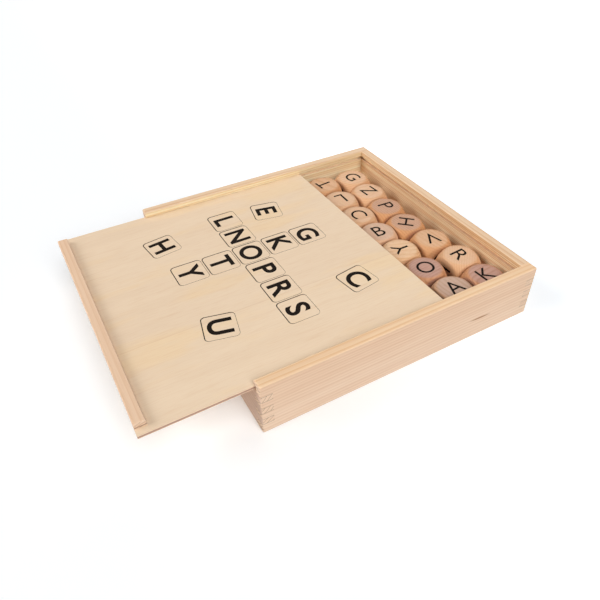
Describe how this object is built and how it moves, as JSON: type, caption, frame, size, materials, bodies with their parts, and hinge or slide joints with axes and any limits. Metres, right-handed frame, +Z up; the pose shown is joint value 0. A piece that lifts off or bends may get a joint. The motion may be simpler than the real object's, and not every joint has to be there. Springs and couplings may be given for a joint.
{
  "type": "letter dice word game",
  "caption": "Square wooden game box with a sliding plywood lid, drawn part of the way out, over rows of rounded wooden letter dice that lift out.",
  "frame": {"origin": "centre of the box's underside, in the plane of the walls' lower edges", "axes": "+X along the side walls towards the closed rear end, so that the lid opens towards -X; +Y from the near side wall to the far side wall; +Z up"},
  "size_m": [0.323, 0.245, 0.047],
  "materials": {
    "pine_board": "sanded, unvarnished",
    "pine_batten": "sanded, unvarnished",
    "plywood_lid": "sanded plywood, printed",
    "plywood_bottom": "sanded plywood",
    "die_beech": "smooth, unvarnished",
    "die_pale": "smooth, unvarnished",
    "die_pink": "smooth, unvarnished"
  },
  "bodies": {
    "box": {"near_side_wall": "pine_board", "far_side_wall": "pine_board", "front_end_wall": "pine_board", "rear_end_wall": "pine_board", "bottom_panel": "plywood_bottom", "letter_die_c3_r1": "die_pale", "letter_die_c3_r2": "die_pink", "letter_die_c3_r3": "die_beech", "letter_die_c3_r4": "die_pale", "letter_die_c3_r5": "die_pink", "letter_die_c3_r6": "die_beech", "letter_die_c3_r7": "die_pale", "letter_die_c4_r1": "die_beech", "letter_die_c4_r2": "die_pale", "letter_die_c4_r3": "die_pink", "letter_die_c4_r4": "die_beech", "letter_die_c4_r5": "die_pale", "letter_die_c4_r6": "die_pink", "letter_die_c4_r7": "die_beech", "letter_die_c5_r1": "die_pink", "letter_die_c5_r2": "die_beech", "letter_die_c5_r3": "die_pale", "letter_die_c5_r4": "die_pink", "letter_die_c5_r5": "die_beech", "letter_die_c5_r6": "die_pale", "letter_die_c5_r7": "die_pink", "letter_die_c6_r1": "die_pale", "letter_die_c6_r2": "die_pink", "letter_die_c6_r3": "die_beech", "letter_die_c6_r4": "die_pale", "letter_die_c6_r5": "die_pink", "letter_die_c6_r6": "die_beech", "letter_die_c6_r7": "die_pale", "letter_die_c7_r1": "die_beech", "letter_die_c7_r2": "die_pale", "letter_die_c7_r3": "die_pink", "letter_die_c7_r4": "die_beech", "letter_die_c7_r5": "die_pale", "letter_die_c7_r6": "die_pink", "letter_die_c7_r7": "die_beech"},
    "lid": {"sliding_lid": "plywood_lid", "lid_batten": "pine_batten"},
    "die_c1_r1": {"letter_die_c1_r1": "die_pink"},
    "die_c1_r2": {"letter_die_c1_r2": "die_beech"},
    "die_c1_r3": {"letter_die_c1_r3": "die_beech"},
    "die_c1_r4": {"letter_die_c1_r4": "die_pink"},
    "die_c1_r5": {"letter_die_c1_r5": "die_pink"},
    "die_c1_r6": {"letter_die_c1_r6": "die_beech"},
    "die_c1_r7": {"letter_die_c1_r7": "die_beech"},
    "die_c2_r1": {"letter_die_c2_r1": "die_pale"},
    "die_c2_r2": {"letter_die_c2_r2": "die_pink"},
    "die_c2_r3": {"letter_die_c2_r3": "die_pale"},
    "die_c2_r4": {"letter_die_c2_r4": "die_beech"},
    "die_c2_r5": {"letter_die_c2_r5": "die_beech"},
    "die_c2_r6": {"letter_die_c2_r6": "die_beech"},
    "die_c2_r7": {"letter_die_c2_r7": "die_beech"}
  },
  "joints": [
    {"name": "lid_slide", "type": "slide", "parent": "box", "child": "lid", "axis": [-1, 0, 0], "range_m": [-0.078, 0.172]},
    {"name": "lift_die_c1_r1", "type": "slide", "parent": "box", "child": "die_c1_r1", "axis": [0, 0, 1], "range_m": [0, 0.05]},
    {"name": "lift_die_c1_r2", "type": "slide", "parent": "box", "child": "die_c1_r2", "axis": [0, 0, 1], "range_m": [0, 0.05]},
    {"name": "lift_die_c1_r3", "type": "slide", "parent": "box", "child": "die_c1_r3", "axis": [0, 0, 1], "range_m": [0, 0.05]},
    {"name": "lift_die_c1_r4", "type": "slide", "parent": "box", "child": "die_c1_r4", "axis": [0, 0, 1], "range_m": [0, 0.05]},
    {"name": "lift_die_c1_r5", "type": "slide", "parent": "box", "child": "die_c1_r5", "axis": [0, 0, 1], "range_m": [0, 0.05]},
    {"name": "lift_die_c1_r6", "type": "slide", "parent": "box", "child": "die_c1_r6", "axis": [0, 0, 1], "range_m": [0, 0.05]},
    {"name": "lift_die_c1_r7", "type": "slide", "parent": "box", "child": "die_c1_r7", "axis": [0, 0, 1], "range_m": [0, 0.05]},
    {"name": "lift_die_c2_r1", "type": "slide", "parent": "box", "child": "die_c2_r1", "axis": [0, 0, 1], "range_m": [0, 0.05]},
    {"name": "lift_die_c2_r2", "type": "slide", "parent": "box", "child": "die_c2_r2", "axis": [0, 0, 1], "range_m": [0, 0.05]},
    {"name": "lift_die_c2_r3", "type": "slide", "parent": "box", "child": "die_c2_r3", "axis": [0, 0, 1], "range_m": [0, 0.05]},
    {"name": "lift_die_c2_r4", "type": "slide", "parent": "box", "child": "die_c2_r4", "axis": [0, 0, 1], "range_m": [0, 0.05]},
    {"name": "lift_die_c2_r5", "type": "slide", "parent": "box", "child": "die_c2_r5", "axis": [0, 0, 1], "range_m": [0, 0.05]},
    {"name": "lift_die_c2_r6", "type": "slide", "parent": "box", "child": "die_c2_r6", "axis": [0, 0, 1], "range_m": [0, 0.05]},
    {"name": "lift_die_c2_r7", "type": "slide", "parent": "box", "child": "die_c2_r7", "axis": [0, 0, 1], "range_m": [0, 0.05]}
  ]
}
